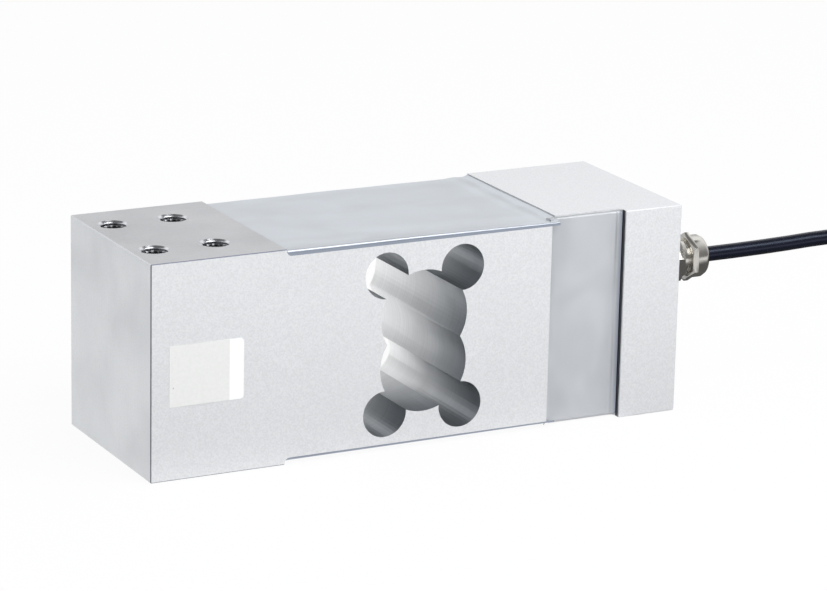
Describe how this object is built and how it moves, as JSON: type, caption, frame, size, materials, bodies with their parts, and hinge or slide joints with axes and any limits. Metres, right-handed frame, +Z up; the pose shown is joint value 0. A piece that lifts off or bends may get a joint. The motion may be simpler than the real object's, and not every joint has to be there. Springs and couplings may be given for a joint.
{
  "type": "single point load cell",
  "caption": "Block-shaped aluminium load cell with a bored flexure, tapped mounting holes, sealed gauge recesses and a gland with its coiled cable.",
  "frame": {"origin": "middle of the spring body's underside", "axes": "+X along the body towards the cable gland, +Y across it away from the labelled face, +Z up"},
  "size_m": [0.427, 0.082, 0.076],
  "materials": {
    "machined_aluminium": "sand-blasted and clear anodised, bores left bright",
    "foil_sealing": "soft sealing compound under a pale satin foil",
    "white_potting": "matt silicone",
    "gauge_foil": "polyimide carrier",
    "flex_film": "polyimide film",
    "green_board": "solder mask",
    "plated_pins": "plated",
    "white_plastic": "moulded",
    "chip_black": "fired film",
    "conductor_sheath": "insulated cores",
    "black_rubber": "matt",
    "nickel_plate": "nickel plated, turned",
    "natural_polyamide": "moulded",
    "cable_jacket": "smooth polyurethane",
    "tie_plastic": "moulded",
    "tinned_copper": "tinned strands",
    "label_film": "satin film, bare",
    "lead_red": "extruded insulation",
    "lead_black": "extruded insulation",
    "lead_green": "extruded insulation",
    "lead_white": "extruded insulation",
    "lead_blue": "extruded insulation",
    "lead_yellow": "extruded insulation"
  },
  "bodies": {
    "root": {"blank_label": "label_film", "board_pins": "plated_pins", "bottom_sealing_pad": "foil_sealing", "cable_coil": "cable_jacket", "cable_end_sleeve": "black_rubber", "cable_entry": "cable_jacket", "cable_run": "cable_jacket", "cavity_potting": "white_potting", "circuit_board": "green_board", "coil_tie": "tie_plastic", "entry_conductors": "conductor_sheath", "flex_sockets": "white_plastic", "gauge_flex_bottom": "flex_film", "gauge_flex_top": "flex_film", "gland_body": "nickel_plate", "gland_cap_nut": "nickel_plate", "gland_clamping_cage": "natural_polyamide", "gland_rubber_seal": "black_rubber", "gland_sealing_ring": "black_rubber", "lead_black": "lead_black", "lead_blue": "lead_blue", "lead_green": "lead_green", "lead_red": "lead_red", "lead_white": "lead_white", "lead_yellow": "lead_yellow", "shield_drain": "tinned_copper", "side_sealing_pad": "foil_sealing", "spring_body": "machined_aluminium", "strain_gauge_bottom_left": "gauge_foil", "strain_gauge_bottom_right": "gauge_foil", "strain_gauge_top_left": "gauge_foil", "strain_gauge_top_right": "gauge_foil", "temperature_resistor": "gauge_foil", "tinned_tips": "tinned_copper", "top_sealing_pad": "foil_sealing", "trim_resistors": "chip_black"}
  },
  "joints": []
}
